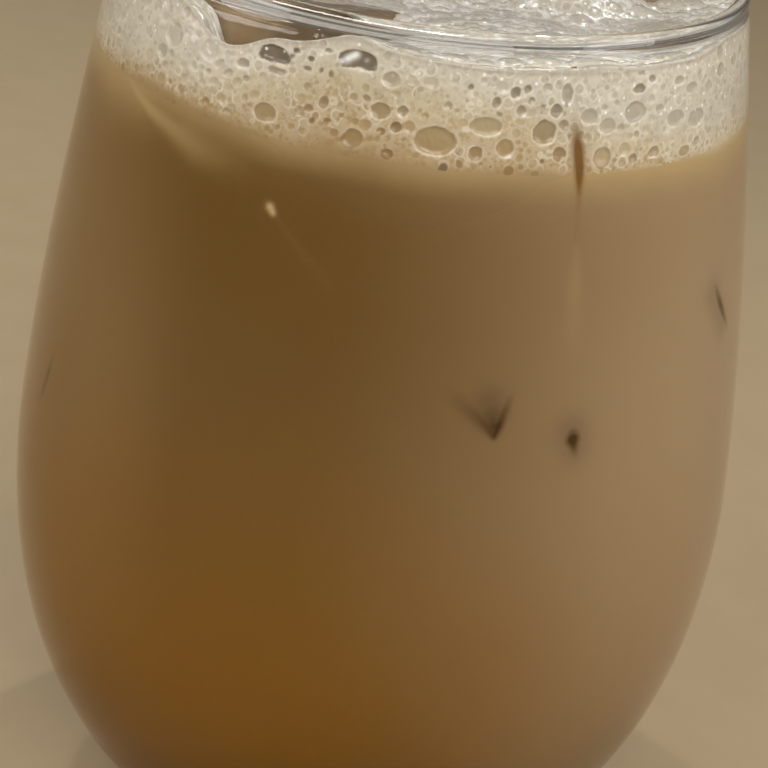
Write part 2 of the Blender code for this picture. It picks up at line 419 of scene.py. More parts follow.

# painted shade where ice comes near the glass and shows dark through the drink: bearing, height, half width
# and darkness of the points of each mark
iceShadeMarks = {
    "cornerLeft": (
        (17.7, 74.4, 0.45, 1.0), (16.4, 75.7, 0.8, 0.8), (14.4, 77.0, 0.95, 0.5),
        (12.2, 78.2, 0.95, 0.26), (9.4, 79.6, 0.9, 0.03),
    ),
    "cornerRight": (
        (17.7, 74.4, 0.45, 1.1), (18.2, 75.6, 0.62, 1.15), (18.9, 77.3, 0.6, 0.7), (19.9, 79.6, 0.6, 0.1),
    ),
    "cornerFill": (
        (17.5, 75.5, 1.0, 0.95), (17.0, 76.8, 1.7, 0.62), (16.4, 78.2, 2.2, 0.36), (15.8, 79.8, 2.5, 0.0),
    ),
    "point": (
        (30.6, 74.0, 0.9, 0.8), (30.7, 73.4, 0.95, 1.3), (31.0, 72.5, 0.75, 0.9),
        (31.4, 71.4, 0.65, 0.4), (31.8, 70.5, 0.6, 0.12),
    ),
    "pointHalo": ((30.4, 74.2, 2.3, 0.3), (31.4, 72.0, 2.1, 0.26)),
    "right": (
        (62.2, 87.4, 0.5, 0.15), (63.3, 86.0, 0.6, 0.6), (65.2, 84.0, 0.65, 1.0),
        (67.0, 82.2, 0.55, 0.9), (69.2, 80.2, 0.5, 0.2),
    ),
    "rightHalo": ((61.8, 86.0, 1.9, 0.26), (66.5, 81.0, 1.7, 0.24)),
    "left": (
        (-62.6, 66.9, 0.4, 0.2), (-63.3, 64.8, 0.5, 0.6),
        (-64.4, 61.9, 0.45, 0.55), (-65.3, 60.2, 0.4, 0.15),
    ),
    "needle": (
        (26.3, 109.6, 0.7, 0.2), (26.8, 108.2, 0.75, 0.8), (27.3, 106.4, 0.72, 1.4),
        (27.8, 104.4, 0.6, 1.7), (28.0, 102.6, 0.46, 1.1), (28.1, 101.2, 0.42, 0.5),
        (28.1, 99.0, 0.4, 0.2), (28.2, 96.0, 0.4, 0.0),
    ),
}

# painted light: soft light lines in the drink beside the ice, and a small painted highlight in the last
glowLines = {
    "arc": (
        (-61, 105.0, 0.9, 0.3), (-58, 104.2, 0.9, 0.6), (-53.5, 102.9, 0.9, 0.74), (-48, 101.8, 0.95, 0.7),
        (-42, 101.1, 1.15, 0.5), (-36, 100.3, 1.9, 0.36), (-28, 100.2, 2.0, 0.08),
    ),
    "haze": (
        (-74, 103.4, 2.8, 0.40), (-66, 103.8, 3.8, 0.52), (-60, 103.7, 4.1, 0.55), (-52, 103.2, 3.4, 0.46),
        (-46, 103.4, 2.2, 0.24), (-40, 103.0, 1.8, 0.10), (-30, 102.0, 1.8, 0.06), (-15, 100.8, 1.8, 0.0),
    ),
    "needle": (
        (28.4, 95.5, 0.5, 0.1), (28.6, 92.5, 0.8, 0.2), (28.8, 88.0, 1.0, 0.14), (29.0, 82.0, 1.2, 0.0),
    ),
    "line": (
        (-21.7, 97.0, 0.3, 0.1), (-20.9, 96.5, 0.45, 1.3), (-20.3, 96.0, 0.4, 1.1),
        (-19.8, 95.7, 0.3, 0.06), (-15, 92.7, 0.6, 0.05), (-10, 89.8, 0.8, 0.03), (-8, 88.6, 0.8, 0.0),
    ),
}


def lineField(points, lines):
    best = np.zeros(len(points))
    for line in lines:
        spots = [(np.array(onBearing(b, innerRadius(z * mm), z * mm)), w * mm, k) for b, z, w, k in line]
        for (a, w0, k0), (b, w1, k1) in zip(spots, spots[1:]):
            t = np.clip(((points - a) @ (b - a)) / ((b - a) @ (b - a)), 0, 1)
            gap = np.linalg.norm(points - a - t[:, None] * (b - a), axis=1)
            best = np.maximum(best, (k0 + (k1 - k0) * t) * np.exp(-((gap / (w0 + (w1 - w0) * t)) ** 2)))
    return best


# the froth's soft underside on the glass: bearing, height
frothUnderside = (
    (-180, 103.2), (-120, 102.6), (-85, 101.6), (-70, 101.9), (-60, 102.7), (-50, 103.8),
    (-37, 103.6), (-22, 102.8), (-12, 102.9), (0, 102.9), (7, 102.7), (24, 102.7),
    (35, 102.3), (45, 101.8), (60, 100.9), (73, 100.9), (110, 102.6), (180, 103.2),
)

# how much paler the froth is at the same height: bearing, millimetres higher in its scale of colours
frothPaleness = (
    (-180, 1), (-90, 3), (-62, 4), (-38, 4), (-28, 1.5), (-14, -1),
    (6, 0), (20, 0.4), (32, 3), (60, 4), (90, 2), (180, 1),
)


def aboveUnderside(points):
    line, paler = np.array(frothUnderside), np.array(frothPaleness)
    bearings = bearingsOf(points)
    above = points[:, 2] / mm - np.interp(bearings, line[:, 0], line[:, 1])
    return above + np.interp(bearings, paler[:, 0], paler[:, 1]) * smoothStep(0.5, 3.5, above)


def makeCoffee():
    d = drinkSize
    reach = lambda z: innerRadius(z) + d["wetting"]
    rows = d["rows"]
    lowest = glassSize["floorHeight"] - d["wetting"]
    top = [(reach(d["top"]) * i / 12, d["top"]) for i in range(12)] + [(reach(d["top"]), d["top"])]
    side = sideLine(reach, d["top"] - 0.05 * mm, int(rows * 0.62))
    bowl = bowlLine(reach, glassSize["floorHeight"] + 0.02 * mm, int(rows * 0.38))
    bowl = bowl[:-1] + [(bowl[-1][0] * (1 - i / 6), lowest) for i in range(7)]
    piece = spinProfile("milkCoffee", top + side + bowl, d["turns"])
    pick(piece)
    middles = np.array([polygon.center for polygon in piece.data.polygons])
    fine = [*iceShadeMarks.values(), glowLines["line"], glowLines["arc"]]
    near = lineField(middles, [[(b, z, w + 1.0, 1) for b, z, w, k in line] for line in fine])
    bpy.ops.object.mode_set(mode="EDIT")
    bpy.ops.mesh.select_mode(type="FACE")
    bpy.ops.mesh.select_all(action="DESELECT")
    bpy.ops.object.mode_set(mode="OBJECT")
    piece.data.polygons.foreach_set("select", near > 0.1)  # the mesh is finer where a mark shows
    bpy.ops.object.mode_set(mode="EDIT")
    bpy.ops.mesh.subdivide(number_cuts=d["markCuts"])
    bpy.ops.mesh.select_mode(type="VERT")
    bpy.ops.object.mode_set(mode="OBJECT")
    points = readPoints(piece)
    writeAttribute(piece, "mark", lineField(points, iceShadeMarks.values()))
    writeAttribute(piece, "glow", lineField(points, glowLines.values()))
    writeAttribute(piece, "above", aboveUnderside(points))
    return piece


# where one shade turns into the next: metres across or up, or millimetres over the froth's underside,
# and in some the share at each end
drinkRamps = {
    "lit": (-0.011, 0.043),
    "edge": (-0.022, -0.036),
    "amber": (0.082, 0.022),
    "amberAcross": (0.050, -0.010, 0.25, 1.0),
    "needle": (0.094, 0.100),
    "middle": (2.5, 8.0),
    "high": (6.5, 10.5),
    "palerLeft": (-0.006, -0.034, 0.0, 0.50),
    "palerRight": (0.010, 0.036, 0.0, 0.24),
    "palerHigh": (3.0, 9.0),
    "blend": (-2.8, 2.8, 0.0, 0.92),
    "blendTail": (-7.0, 0.0, 0.0, 0.08),
}


def drinkShades(material):
    ramps, shades = drinkRamps, drinkColour
    where = addNode(material, "TexCoord").outputs["Object"]
    place = addNode(material, "SeparateXYZ", {0: where})
    across = place.outputs["X"]
    # painted light and shade: the body runs from its shaded colour at the left to its lit colour at the
    # right, with painted light at the left edge and a warmer painted shade towards the bottom at the left
    drifted = calc(material, "ADD", across, swing(material, 16, 2, 0.012))
    body = mixed(material, ranged(material, drifted, *ramps["lit"]), shades["shade"], shades["lit"])
    body = mixed(material, ranged(material, drifted, *ramps["edge"]), body, shades["edge"])
    low = ranged(material, place.outputs["Z"], *ramps["amber"])
    low = times(material, low, ranged(material, drifted, *ramps["amberAcross"]))
    body = mixed(material, low, body, shades["amber"])
    # painted light beside the ice
    body = mixed(material, attribute(material, "glow"), body, shades["glow"])
    above = calc(material, "ADD", attribute(material, "above"), swing(material, 95, 3, 2.4))
    middle = ranged(material, above, *ramps["middle"])
    froth = mixed(material, middle, frothColour["low"], frothColour["middle"])
    froth = mixed(material, ranged(material, above, *ramps["high"]), froth, frothColour["high"])
    # painted light: the froth is painted paler towards the left and right, where more light falls on it
    left = ranged(material, across, *ramps["palerLeft"])
    right = ranged(material, across, *ramps["palerRight"])
    paler = times(material, most(material, left, right), ranged(material, above, *ramps["palerHigh"]))
    froth = mixed(material, paler, froth, frothColour["rim"])
    blend = ranged(material, above, *ramps["blend"])
    blend = calc(material, "ADD", blend, ranged(material, above, *ramps["blendTail"]))
    return mixed(material, blend, body, froth), above


def makeCoffeeMaterial():
    material, shader = newMaterial(
        "milkCoffee",
        Roughness=0.45,
        Specular_IOR_Level=0,
        Subsurface_Weight=0.4,
        Subsurface_Scale=0.25 * mm,
        Subsurface_Radius=(1.0, 0.75, 0.5),
    )
    # painted shade: the drink is darkened where ice comes near the glass, in a browner colour higher up
    high = ranged(material, height(material), *drinkRamps["needle"])
    dark = mixed(material, high, drinkColour["iceMark"], drinkColour["needle"])
    colour = mixed(material, attribute(material, "mark"), drinkShades(material)[0], dark)
    material.node_tree.links.new(colour, shader.inputs["Base Color"])
    return material


# the froth's colours: low, middle, high and rim are its own; the hollow colours and window are painted shade
# inside bubbles, in larger cells and on the lip; glint is painted highlight, and also whitens the pale
# creases
frothColour = {
    "low": rgb(190, 164, 119),
    "middle": rgb(202, 184, 146),
    "high": rgb(204, 194, 177),
    "rim": rgb(240, 232, 216),
    "glint": rgb(252, 250, 244),
    "hollowLow": rgb(134, 102, 55),
    "hollowHigh": rgb(132, 118, 98),
    "window": rgb(124, 108, 88),
}

dress(makeCoffee(), makeCoffeeMaterial(), "coffee", "coffee")
print("drink poured")

frothSize = {
    "bottom": 103.3 * mm,
    "edge": 114.4 * mm,
    "middle": 113.0 * mm,
    "wetting": 0.18 * mm,
    "turns": 1024,
    "wallRows": 56,
    "lipWidth": 0.5 * mm,
    "lipRise": 0.3 * mm,
    "shelfWidth": 5 * mm,
    "shelfDrop": 1.75 * mm,
    "ringWidth": 6.2 * mm,
    "ringDepth": 7 * mm,
    "floorWidth": 3 * mm,
    "topRadius": 35.2 * mm,
    "topDepth": 6 * mm,
    "topPoints": 480,
    "aroundRadius": 38,  # millimetres, where the wall is unrolled to place bubbles
    "scatterRadius": 36.8,  # millimetres, how far out bubbles lie on top
    "scatterTop": 114.8,
    "wallTries": 12,
    "topTries": 14,
    "tones": (0.02, 0.05, 0.1, 0.16, 0.34),
    "softening": (0.12, 0.2, 0.36, 0.2, 0.12),
    "seed": 11,
}

# the froth's upper line on the glass: bearing, height
frothLine = (
    (-180, 114.2), (-130, 114.8), (-95, 115.0), (-66, 115.4), (-58, 115.2), (-50, 114.9),
    (-45, 114.4), (-41.5, 113.3), (-38, 112.3), (-34, 111.7), (-30.3, 112.4), (-28, 113.3),
    (-25, 114.1), (-22, 114.1), (-18.5, 114.6), (-14.5, 115.6), (-11, 116.1), (-6, 115.2),
    (0, 114.9), (12, 114.5), (23, 114.5), (41, 114.5), (54, 114.5), (64, 115.4),
    (75, 115.2), (95, 114.6), (130, 115.0), (180, 114.2),
)

# bubbles pressed against the glass: bearing, height, half width, half height, darkness
wallBubbles = (
    (21.2, 108.3, 1.40, 1.35, 0.70), (16.8, 110.5, 0.66, 0.63, 0.60), (15.6, 112.4, 0.65, 0.68, 0.90),
    (17.7, 112.8, 0.50, 0.52, 0.90), (18.5, 111.7, 0.50, 0.53, 0.80), (20.5, 111.0, 0.40, 0.42, 0.80),
    (22.9, 110.6, 0.75, 0.74, 0.85), (24.5, 109.1, 0.65, 0.64, 0.60), (24.0, 106.0, 0.76, 0.81, 0.70),
    (38.2, 110.0, 1.57, 1.20, 0.45), (32.6, 108.8, 1.17, 0.87, 0.25), (29.0, 109.9, 1.12, 0.86, 0.30),
    (48.0, 108.6, 1.59, 1.01, 0.30), (53.6, 108.0, 1.65, 1.02, 0.30), (31.9, 105.4, 1.17, 1.20, 0.35),
    (38.1, 105.0, 0.65, 0.55, 0.60), (42.7, 105.3, 0.94, 0.67, 0.50), (50.4, 104.7, 0.95, 0.57, 0.45),
    (38.9, 112.5, 1.01, 0.54, 0.90), (41.6, 113.4, 0.60, 0.43, 0.80), (39.1, 114.1, 0.86, 0.32, 0.60),
    (48.5, 112.7, 0.89, 0.55, 0.50), (52.0, 111.5, 1.17, 0.67, 0.40), (21.0, 105.2, 0.29, 0.32, 0.90),
    (17.7, 104.6, 0.45, 0.43, 0.40), (20.1, 103.9, 0.45, 0.43, 0.40), (21.0, 113.0, 0.68, 0.63, 0.30),
    (24.7, 112.3, 0.75, 1.25, 0.60),
    (-24.9, 112.3, 2.15, 1.12, 1.00), (-30.3, 110.6, 1.1, 0.6, 0.60), (-24.0, 110.9, 1.25, 0.42, 0.70),
    (-21.1, 113.4, 0.55, 0.36, 1.00), (-18.3, 113.0, 0.52, 0.40, 1.00), (-18.7, 111.9, 0.62, 0.33, 0.90),
    (-15.7, 114.2, 0.60, 0.36, 0.90), (-14.6, 111.9, 0.32, 0.52, 0.90), (-16.2, 112.1, 0.30, 0.38, 0.90),
    (-21.6, 112.8, 0.40, 0.30, 0.90), (-10.4, 113.7, 2.25, 1.30, 1.00),
    (-14.9, 108.8, 0.55, 0.68, 0.70), (-29.2, 109.2, 0.44, 0.37, 0.70), (-24.7, 106.3, 1.45, 1.05, 0.45),
    (-16.5, 106.6, 0.39, 0.42, 0.80), (-13.9, 107.0, 0.44, 0.42, 0.80), (-5.8, 109.1, 1.16, 0.94, 0.60),
    (-2.2, 109.4, 0.68, 0.68, 0.60), (-3.0, 107.7, 0.63, 0.63, 0.90), (-5.2, 107.0, 0.42, 0.42, 0.70),
    (-3.9, 104.6, 0.79, 0.69, 0.80), (-9.5, 105.7, 1.18, 1.05, 0.50), (3.5, 106.7, 2.31, 1.58, 0.40),
    (11.4, 108.7, 1.82, 1.05, 0.35), (14.8, 106.5, 0.98, 1.06, 0.40), (10.1, 105.8, 0.85, 0.85, 0.55),
    (5.3, 104.0, 0.58, 0.58, 0.95), (7.6, 104.6, 0.42, 0.53, 0.60), (12.6, 104.5, 0.27, 0.32, 0.90),
    (15.7, 104.1, 0.60, 0.59, 0.70), (12.7, 111.3, 0.54, 0.63, 0.85), (13.2, 110.1, 0.43, 0.26, 0.70),
    (8.2, 112.7, 0.37, 0.42, 0.90), (-17.3, 107.9, 0.50, 0.37, 0.70), (-8.1, 110.1, 0.53, 0.31, 0.60),
)

# painted highlights: small bright spots on bubbles at the glass
frothGlints = {
    "window": (
        (-13.4, 113.4, 0.2, 0.7), (-12.3, 113.75, 0.4, 1.4),
        (-11.0, 114.3, 0.4, 1.4), (-10.5, 114.5, 0.2, 0.7),
    ),
    "windowRight": ((-9.2, 113.9, 0.2, 1.1), (-9.1, 113.9, 0.2, 1.1)),
    "besideLeft": ((-16.9, 113.6, 0.25, 1.2), (-16.7, 113.7, 0.25, 1.2)),
    "besideRight": ((-15.9, 113.8, 0.2, 1.1), (-15.8, 113.8, 0.2, 1.1)),
}

# painted highlights: small glints on the froth left of the open pocket
bankSize = {
    "glints": 55,
    "from": -53.0,
    "to": -36.5,
    "high": 112.5,
    "low": 111.6,
    "spread": 1.2,
    "seed": 5,
}


def paintedBankGlints():
    k = bankSize
    draw = random.Random(k["seed"])
    glints = []
    for _ in range(k["glints"]):
        share = draw.random()
        bearing = k["from"] + (k["to"] - k["from"]) * share
        z = k["high"] + (k["low"] - k["high"]) * share + draw.uniform(-1, 1) * k["spread"]
        width, light = draw.uniform(0.10, 0.22), draw.uniform(0.5, 1.2)
        further = bearing + draw.uniform(0.1, 0.5)
        glints.append(((bearing, z, width, light), (further, z - 0.1, width, light)))
    return glints


def frothEdge(bearings):
    line = np.array(frothLine)
    turns = np.arange(-200, 201)
    wrapped = (turns + 180) % 360 - 180
    even = np.convolve(np.interp(wrapped, line[:, 0], line[:, 1]), frothSize["softening"], "same")
    return np.interp(bearings, turns, even) * mm


# small bubbles at the glass: radius, how many, lowest height, how close they sit
scatteredBubbles = (
    (1.2, 26, 107.4, 1.1),
    (0.85, 60, 106.0, 1.0),
    (0.6, 170, 104.8, 0.95),
    (0.42, 360, 104.2, 0.95),
    (0.28, 900, 103.6, 0.95),
)


def around(bearing):
    return math.radians(bearing) * frothSize["aroundRadius"]


def scatterWallBubbles(draw):
    f = frothSize
    placed = list(wallBubbles)
    spots = np.array([(around(b), z, max(w, h)) for b, z, w, h, tone in placed])
    for radius, count, lowest, closeness in scatteredBubbles:
        for _ in range(count):
            for _ in range(f["wallTries"]):
                b, z = draw.uniform(-180, 180), draw.uniform(lowest, f["scatterTop"])
                size = radius * draw.uniform(0.8, 1.2)
                apart = np.hypot(spots[:, 0] - around(b), spots[:, 1] - z)
                free = (apart - closeness * (spots[:, 2] + size)).min() > 0
                if free and z + 0.6 * size < frothEdge(b) / mm:
                    tone = draw.choice(f["tones"])
                    placed.append((b, z, size, size * draw.uniform(0.78, 1.0), tone))
                    spots = np.vstack((spots, (around(b), z, size)))
                    break
    return placed


# heaps of froth over ice: bearing, distance, radius, height
frothHeaps = ((27, 24.0, 10.0, 1.4), (96, 17.0, 8.0, 2.4))

pocketSize = {
    "bearing": -27,
    "distance": 33 * mm,
    "halfWidth": 8.6 * mm,
    "halfLength": 7.5 * mm,
    "depth": 3.8 * mm,
}


def frothLift(points):
    k = pocketSize
    middle = onBearing(k["bearing"], k["distance"], 0)
    angle = math.radians(k["bearing"])
    x, y = points[:, 0] - middle.x, points[:, 1] - middle.y
    along = (x * math.cos(angle) + y * math.sin(angle)) / k["halfWidth"]
    outward = (x * math.sin(angle) - y * math.cos(angle)) / k["halfLength"]
    lift = -k["depth"] * (1 - smoothStep(0.6, 1.05, np.hypot(along, outward)))
    for bearing, distance, radius, rise in frothHeaps:
        spot = onBearing(bearing, distance, 0)
        gap = np.hypot(points[:, 0] / mm - spot.x, points[:, 1] / mm - spot.y) / radius
        lift += rise * mm * np.exp(-(gap**4))
    return lift


# bubbles on top: radius, how many, height as a share of the radius, how close they sit
domeSizes = (
    (4.0, 9, 0.22, 0.95),
    (2.6, 30, 0.34, 0.9),
    (1.6, 130, 0.48, 0.86),
    (1.0, 430, 0.58, 0.84),
    (0.6, 1500, 0.62, 0.84),
)


def scatterTopBubbles(draw):
    f = frothSize
    spots = np.array([(1.0, 1.0, 0.0)])
    placed = []
    for radius, count, flatness, closeness in domeSizes:
        for _ in range(count):
            for _ in range(f["topTries"]):
                spot = onBearing(draw.uniform(-180, 180), f["scatterRadius"] * math.sqrt(draw.random()), 0)
                size = radius * draw.uniform(0.8, 1.2)
                apart = np.hypot(spots[:, 0] - spot.x, spots[:, 1] - spot.y)
                if (apart - closeness * (spots[:, 2] + size)).min() > 0:
                    spots = np.vstack((spots, (spot.x, spot.y, size)))
                    placed.append((spot * mm, size, flatness, draw.random()))
                    break
    return placed


topBubbles = scatterTopBubbles(random.Random(frothSize["seed"] + 1))


def findable(shown, x, y):
    finder = kdtree.KDTree(len(shown))
    for i in shown:
        finder.insert((x[i], y[i], 0), int(i))
    finder.balance()
    return finder


def raiseDomes(points, shown):
    rise, second, toneOf = np.zeros(len(points)), np.zeros(len(points)), np.zeros(len(points))
    finder = findable(shown, points[:, 0], points[:, 1])
    for spot, size, flatness, tone in topBubbles:
        for _, i, far in finder.find_range(spot, size * mm):
            up = size * flatness * math.sqrt(max(1 - (far / (size * mm)) ** 2, 0))
            if up > rise[i]:
                second[i], rise[i], toneOf[i] = rise[i], up, tone
            elif up > second[i]:
                second[i] = up
    return rise, toneOf, np.exp(-(((rise - second) / 0.12) ** 2))


def wallReach(z):
    return innerRadius(z) + frothSize["wetting"]


def frothProfile():
    f = frothSize
    rise = f["edge"] - f["bottom"]
    levels = [f["bottom"] + rise * i / f["wallRows"] for i in range(f["wallRows"] + 1)]
    foot = lambda z: 0.04 * mm * (1 - smoothStep(f["bottom"], f["bottom"] + 1.2 * mm, z))
    wall = [(wallReach(z) - foot(z), z) for z in levels]
    edge = wall[-1][0]
    corner = (edge - f["lipWidth"], f["edge"])
    angles = (0.4, 0.8, 1.2)
    lip = [(corner[0] + f["lipWidth"] * math.cos(a), corner[1] + f["lipRise"] * math.sin(a)) for a in angles]
    steps = [i / 20 for i in range(1, 21)]
    start = f["edge"] + f["lipRise"]
    shelf = [(corner[0] - f["shelfWidth"] * step, start - f["shelfDrop"] * step**0.8) for step in steps]
    back = [(edge - f["ringWidth"], f["edge"] - f["ringDepth"]), (edge - f["ringWidth"], f["bottom"])]
    floor = [(edge - f["floorWidth"], f["bottom"]), wall[0]]
    return wall + lip + shelf + back + floor, edge


def pressBubbles(points, bearings, shown, toneOf):
    draw = random.Random(frothSize["seed"])
    gap = np.full(len(points), 1.0)  # to the outline of the nearest bubble, below zero inside it
    depthOf, rimOf = np.zeros(len(points)), np.zeros(len(points))
    finder = findable(shown, np.radians(bearings) * frothSize["aroundRadius"] * mm, points[:, 2])
    for b, z, halfWidth, halfHeight, tone in scatterWallBubbles(draw):
        tilt = draw.uniform(-0.5, 0.5) if halfWidth < 0.7 else 0
        middle = (around(b) * mm, z * mm, 0)
        short, long = min(halfWidth, halfHeight), max(halfWidth, halfHeight)
        for at, i, _ in finder.find_range(middle, (long + 0.4) * mm):
            across, up = at[0] - middle[0], at[1] - middle[1]
            along = (across * math.cos(tilt) - up * math.sin(tilt)) / (halfWidth * mm)
            upright = (across * math.sin(tilt) + up * math.cos(tilt)) / (halfHeight * mm)
            outside = (math.hypot(along, upright) - 1) * short
            if tone >= 1 and halfWidth > 1.5:
                outside = max(outside, -up / mm - 0.62 * halfHeight)  # the two open ones are flat below
            if outside < gap[i]:
                gap[i], toneOf[i] = outside, tone
                depthOf[i] = short**0.7 * (0.12 + 0.2 * tone)
                rimOf[i] = (0.35 + 0.65 * smoothStep(0.35, 0.9, halfWidth)) * min(0.35 + tone, 1)
    return gap, depthOf, rimOf


def makeFrothWall():
    f = frothSize
    profile, edge = frothProfile()
    piece = spinProfile("frothWall", profile, f["turns"])
    points = readPoints(piece)
    bearings = bearingsOf(points)
    angle = np.radians(bearings)
    radius = np.hypot(points[:, 0], points[:, 1])
    share = np.clip((points[:, 2] - f["bottom"]) / (f["edge"] - f["bottom"]), 0, 1.2)
    follows = 0.3 + 0.7 * smoothStep(edge - 6 * mm, edge - 2 * mm, radius)
    lifted = points[:, 2] + (frothEdge(bearings) - f["edge"]) * share * follows
    lip = smoothStep(f["edge"] - 0.5 * mm, f["edge"] + 0.1 * mm, points[:, 2]) * (radius > edge - 1.2 * mm)
    onTop = (radius < edge - 0.3 * mm) & (points[:, 2] > f["edge"] - 2.2 * mm)
    outer = radius > edge - 1.3 * mm
    inward = smoothStep(edge - 0.2 * mm, edge - 1.2 * mm, radius)
    heights = np.linspace(0.09, 0.1185, 400)
    reaches = np.array([wallReach(z) for z in heights])
    leaning = np.interp(lifted, heights, reaches) - np.interp(points[:, 2], heights, reaches)
    radius = radius + np.where(outer, leaning, 0)
    domes, toneOf, crease = raiseDomes(points, np.flatnonzero(onTop))
    points[:, 2] = lifted + np.where(onTop, frothLift(points) + 0.4 * inward * domes * mm, 0)
    mark = lineField(points, iceShadeMarks.values())
    shown = np.flatnonzero(outer & ~onTop & (points[:, 2] > f["bottom"] + 0.1 * mm))
    gap, depthOf, rimOf = pressBubbles(points, bearings, shown, toneOf)
    pressed = np.clip(mark * 1.3, 0, 1)  # where ice touches the glass no bubble does
    gap = np.where(gap < 0.3, gap + pressed * (0.5 - gap), gap)
    depthOf *= smoothStep(f["bottom"] + 0.7 * mm, f["bottom"] + 2.2 * mm, points[:, 2])
    radius -= smoothStep(0.05, -0.35, gap) * depthOf * mm
    points[:, 0], points[:, 1] = radius * np.sin(angle), -radius * np.cos(angle)
    writePoints(piece, points)
    fields = {
        "gap": np.clip(gap, -1, 1),
        "tone": toneOf,
        "above": aboveUnderside(points),
        "mark": mark,
        "glow": lineField(points, glowLines.values()),
        "glint": lineField(points, [*frothGlints.values(), *paintedBankGlints()]),
        "crease": np.where(onTop, crease, 0),
        "rimmed": rimOf,
        "lip": lip,
    }
    for name, values in fields.items():
        writeAttribute(piece, name, values)
    return piece


def makeFrothTop():
    f = frothSize
    deselectAll()
    middle = (0, 0, f["middle"])
    bpy.ops.mesh.primitive_circle_add(vertices=f["topPoints"], radius=f["topRadius"], location=middle)
    piece = bpy.context.object
    piece.name = piece.data.name = "frothTop"
    bpy.ops.object.transform_apply(location=True)
    bpy.ops.object.mode_set(mode="EDIT")
    bpy.ops.mesh.select_all(action="SELECT")
    bpy.ops.mesh.fill_grid()
    bpy.ops.mesh.subdivide(number_cuts=1)
    bpy.ops.mesh.select_all(action="SELECT")
    bpy.ops.mesh.region_to_loop()
    bpy.ops.mesh.extrude_region_move(TRANSFORM_OT_translate={"value": (0, 0, -f["topDepth"])})
    bpy.ops.mesh.edge_face_add()
    bpy.ops.mesh.select_all(action="SELECT")
    bpy.ops.mesh.normals_make_consistent(inside=False)
    bpy.ops.object.mode_set(mode="OBJECT")
    bpy.ops.object.shade_smooth()
    points = readPoints(piece)
    top = points[:, 2] > f["middle"] - mm
    rise, toneOf, crease = raiseDomes(points, np.flatnonzero(top))
    away = np.hypot(points[:, 0], points[:, 1])
    dish = (frothEdge(bearingsOf(points)) - f["middle"]) * smoothStep(20 * mm, 37 * mm, away)
    points[:, 2] += np.where(top, dish + frothLift(points) + 0.5 * rise * mm, 0)
    writePoints(piece, points)
    writeAttribute(piece, "crease", crease)
    writeAttribute(piece, "tone", toneOf)
    return piece


# cells to the metre in the froth's fine texture
frothGrain = {"fine": 2300.0, "cells": 1150.0, "lace": 680.0, "large": 520.0, "specks": 1050.0}


def cellsOf(material, where, grain):
    return addNode(material, "TexVoronoi", {"Vector": where, "Scale": frothGrain[grain]})


def fineFroth(material):
    where = addNode(material, "TexCoord").outputs["Object"]
    wobble = addNode(material, "TexNoise", {"Vector": where, "Scale": 700.0, "Detail": 2.0})
    reach = {0: wobble.outputs["Color"], 1: (0.6 * mm, 0.6 * mm, 0.6 * mm)}
    wobble = addNode(material, "VectorMath", reach, operation="MULTIPLY").outputs[0]
    where = addNode(material, "VectorMath", {0: where, 1: wobble}, operation="ADD").outputs[0]
    fine = cellsOf(material, where, "fine").outputs["Distance"]
    cells = cellsOf(material, where, "cells").outputs["Distance"]
    lace = cellsOf(material, where, "lace").outputs["Distance"]
    fineRim = times(material, ranged(material, fine, 0.30, 0.70), 0.26)
    cellRim = times(material, ranged(material, cells, 0.36, 0.66), 0.30)
    laced = ranged(material, noise(material, 300, 2, offset=0.7), 0.38, 0.56, 0.1, 1.0)
    ring = times(material, ranged(material, lace, 0.30, 0.40), ranged(material, lace, 0.56, 0.44))
    ring = times(material, ring, laced, 0.62)
    # painted shade: the insides of lace cells and of some larger cells are darkened, with darker patches at
    # random
    within = times(material, ranged(material, lace, 0.36, 0.26), laced, 0.30)
    large = cellsOf(material, where, "large")
    chance = addNode(material, "SeparateColor", {0: large.outputs["Color"]}).outputs[0]
    deep = ranged(material, large.outputs["Distance"], 0.42, 0.26)
    deep = times(material, deep, ranged(material, chance, 0.35, 1.0), 0.38)
    patches = times(material, ranged(material, noise(material, 260, 3, offset=0.3), 0.40, 0.66), 0.18)
    return most(material, fineRim, cellRim, ring), cells, most(material, deep, patches, within)


# painted highlights: small sparkles scattered over the froth
def paintedSparkles(material):
    where = addNode(material, "TexCoord").outputs["Object"]
    dots = cellsOf(material, where, "specks")
    chance = addNode(material, "SeparateColor", {0: dots.outputs["Color"]}).outputs[0]
    chosen = calc(material, "GREATER_THAN", chance, 0.62)
    return times(material, ranged(material, dots.outputs["Distance"], 0.26, 0.15), chosen)


